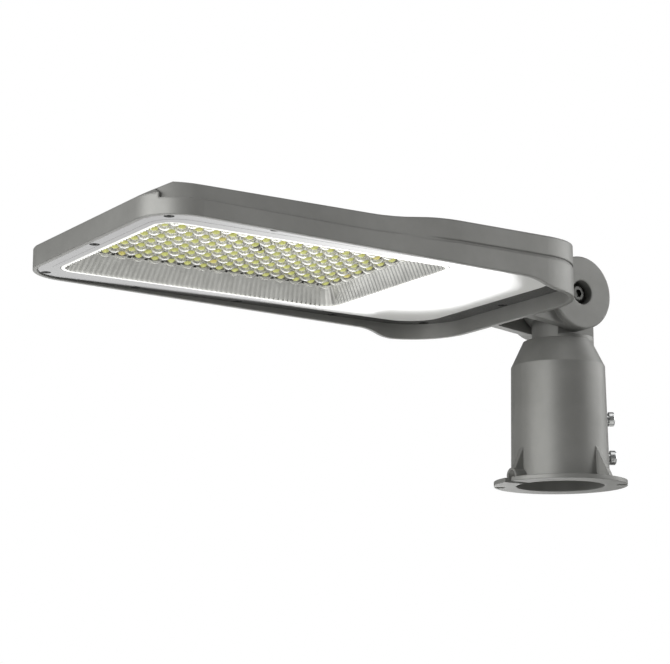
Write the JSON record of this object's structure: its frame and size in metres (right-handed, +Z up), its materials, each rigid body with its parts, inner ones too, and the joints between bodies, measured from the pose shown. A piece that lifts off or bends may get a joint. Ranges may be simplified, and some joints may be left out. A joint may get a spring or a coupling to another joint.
{
  "type": "street light",
  "caption": "Slim rectangular LED street light head with a domed lens window, tilting on a flanged sleeve that slips over the top of a pole.",
  "frame": {"origin": "centre of the pole socket's mouth, in the plane of the flange's underside", "axes": "+Z up the pole's axis, +X along the head towards its tip, +Y across the head towards the side nearest the viewer"},
  "size_m": [0.413, 0.192, 0.1575],
  "materials": {
    "housing_coat": "grey powder coat on cast aluminium, satin",
    "adapter_coat": "grey powder coat on cast aluminium, satin",
    "cover_coat": "grey paint, high gloss",
    "panel_gloss": "grey paint, high gloss",
    "silver_frame": "metallised silver, fluted",
    "clear_lens": "clear moulded",
    "board_white": "white solder mask",
    "led_yellow": "yellow phosphor",
    "black_rubber": "matt",
    "bright_steel": "stainless, turned",
    "black_steel": "black oxide",
    "fibre": "fibre sheet",
    "gear_metal": "plain",
    "gear_plastic": "plain white",
    "wire": "insulation",
    "black_plastic": "nylon"
  },
  "bodies": {
    "adapter": {"pole_adapter": "adapter_coat", "friction_washers": "fibre"},
    "head": {"pivot_bolt": "bright_steel", "pivot_washers": "bright_steel", "pivot_nut": "bright_steel", "housing": "housing_coat", "bottom_cover": "cover_coat", "cover_panel": "panel_gloss", "cover_gasket": "black_rubber", "cover_screws": "black_steel", "reflector_frame": "silver_frame", "lens_gasket": "black_rubber", "lens_array": "clear_lens", "lens_screw": "bright_steel", "led_board": "board_white", "led_chips": "led_yellow", "board_screws": "bright_steel", "led_connector": "gear_plastic", "driver_case": "gear_metal", "driver_screws": "bright_steel", "terminal_block": "gear_plastic", "terminal_screws": "bright_steel", "surge_protector": "black_plastic", "earth_screw": "bright_steel", "mains_leads": "wire", "driver_leads": "wire", "led_leads": "wire", "cable_gland": "black_plastic", "gland_seal": "black_rubber", "gland_nut": "black_plastic", "breather_vent": "black_plastic"},
    "set_screw_1": {"set_screw_1": "bright_steel"},
    "set_screw_2": {"set_screw_2": "bright_steel"},
    "set_screw_3": {"set_screw_3": "bright_steel"},
    "set_screw_4": {"set_screw_4": "bright_steel"}
  },
  "joints": [
    {"name": "head_tilt", "type": "hinge", "parent": "adapter", "child": "head", "pos_m": [0, 0, 0.132], "axis": [0, -1, 0], "range_deg": [-15, 90]},
    {"name": "set_screw_1_slide", "type": "slide", "parent": "adapter", "child": "set_screw_1", "axis": [0.866, -0.5, 0], "range_m": [-0.004, 0.0008]},
    {"name": "set_screw_2_slide", "type": "slide", "parent": "adapter", "child": "set_screw_2", "axis": [0.866, -0.5, 0], "range_m": [-0.004, 0.0008]},
    {"name": "set_screw_3_slide", "type": "slide", "parent": "adapter", "child": "set_screw_3", "axis": [0.866, 0.5, 0], "range_m": [-0.004, 0.0008]},
    {"name": "set_screw_4_slide", "type": "slide", "parent": "adapter", "child": "set_screw_4", "axis": [0.866, 0.5, 0], "range_m": [-0.004, 0.0008]}
  ]
}
